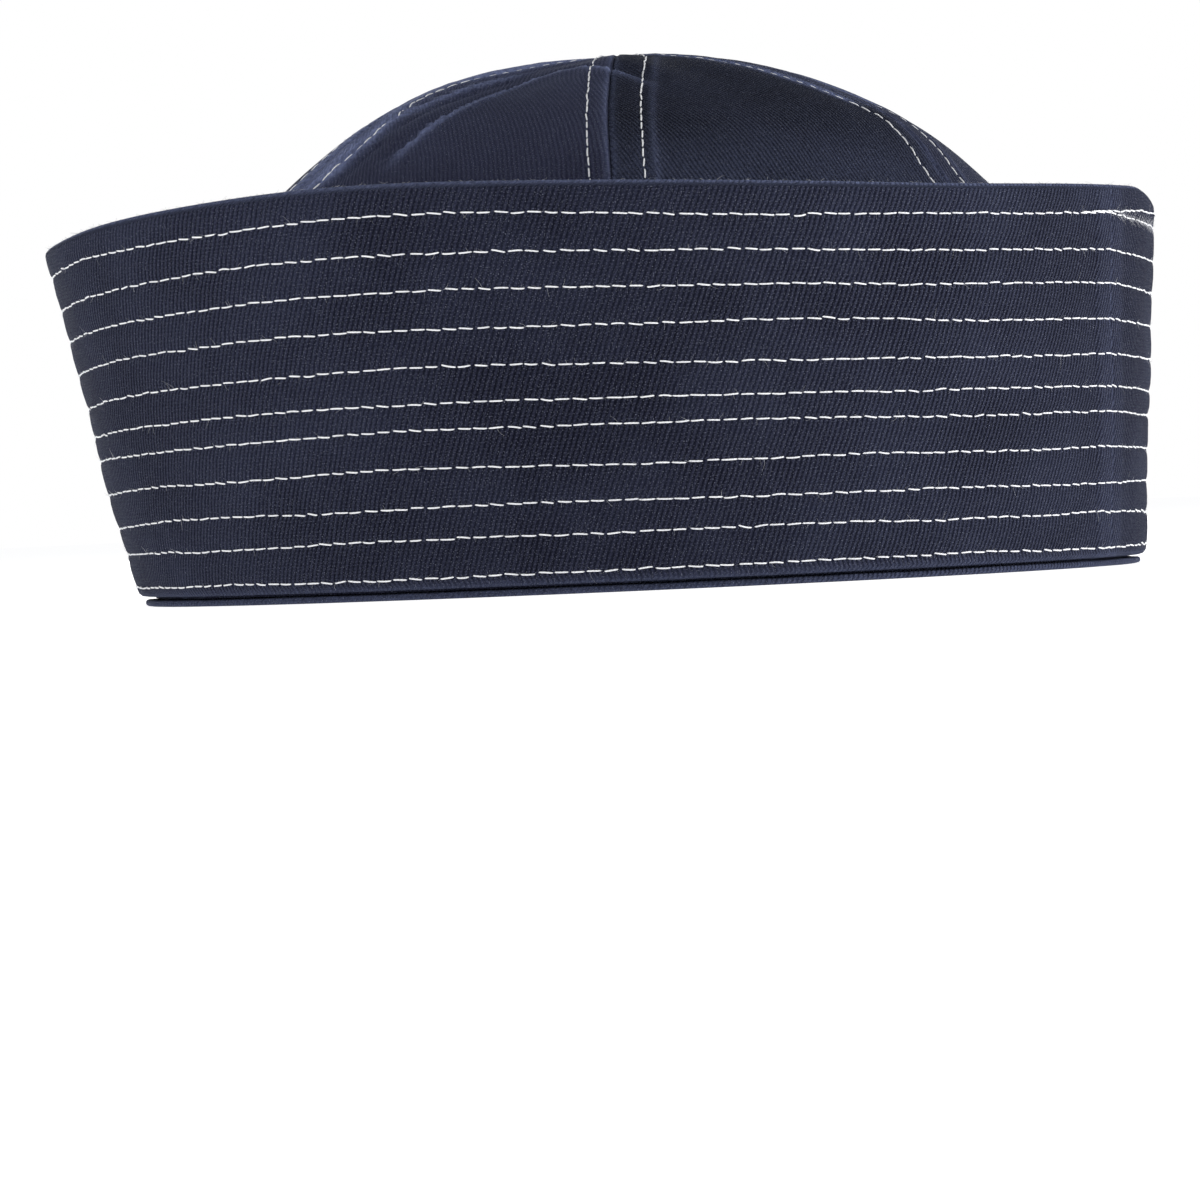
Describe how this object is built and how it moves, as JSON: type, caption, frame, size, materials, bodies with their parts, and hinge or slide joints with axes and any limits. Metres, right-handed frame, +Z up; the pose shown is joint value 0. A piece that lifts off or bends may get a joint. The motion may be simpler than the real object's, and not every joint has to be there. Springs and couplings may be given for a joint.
{
  "type": "sailor cap",
  "caption": "Round cloth sailor cap with a domed gored crown, a deep stiff turned-up brim sewn in rows, and a headband inside.",
  "frame": {"origin": "middle of the rim's length and width, on the plane that the headband's lip rests on", "axes": "+Z up through the crown, -Y to the front of the cap, +X to the wearer's left"},
  "size_m": [0.1908, 0.2274, 0.1082],
  "materials": {
    "brim_twill": "navy cotton twill, stiffened and quilted by rows of stitching",
    "crown_twill": "navy cotton twill, soft",
    "headband_twill": "navy cotton twill, folded",
    "stitching": "white cotton sewing thread"
  },
  "bodies": {
    "root": {"brim": "brim_twill", "crown_gore_1": "crown_twill", "crown_gore_2": "crown_twill", "crown_gore_3": "crown_twill", "crown_gore_4": "crown_twill", "crown_gore_5": "crown_twill", "crown_gore_6": "crown_twill", "headband": "headband_twill"}
  },
  "joints": []
}
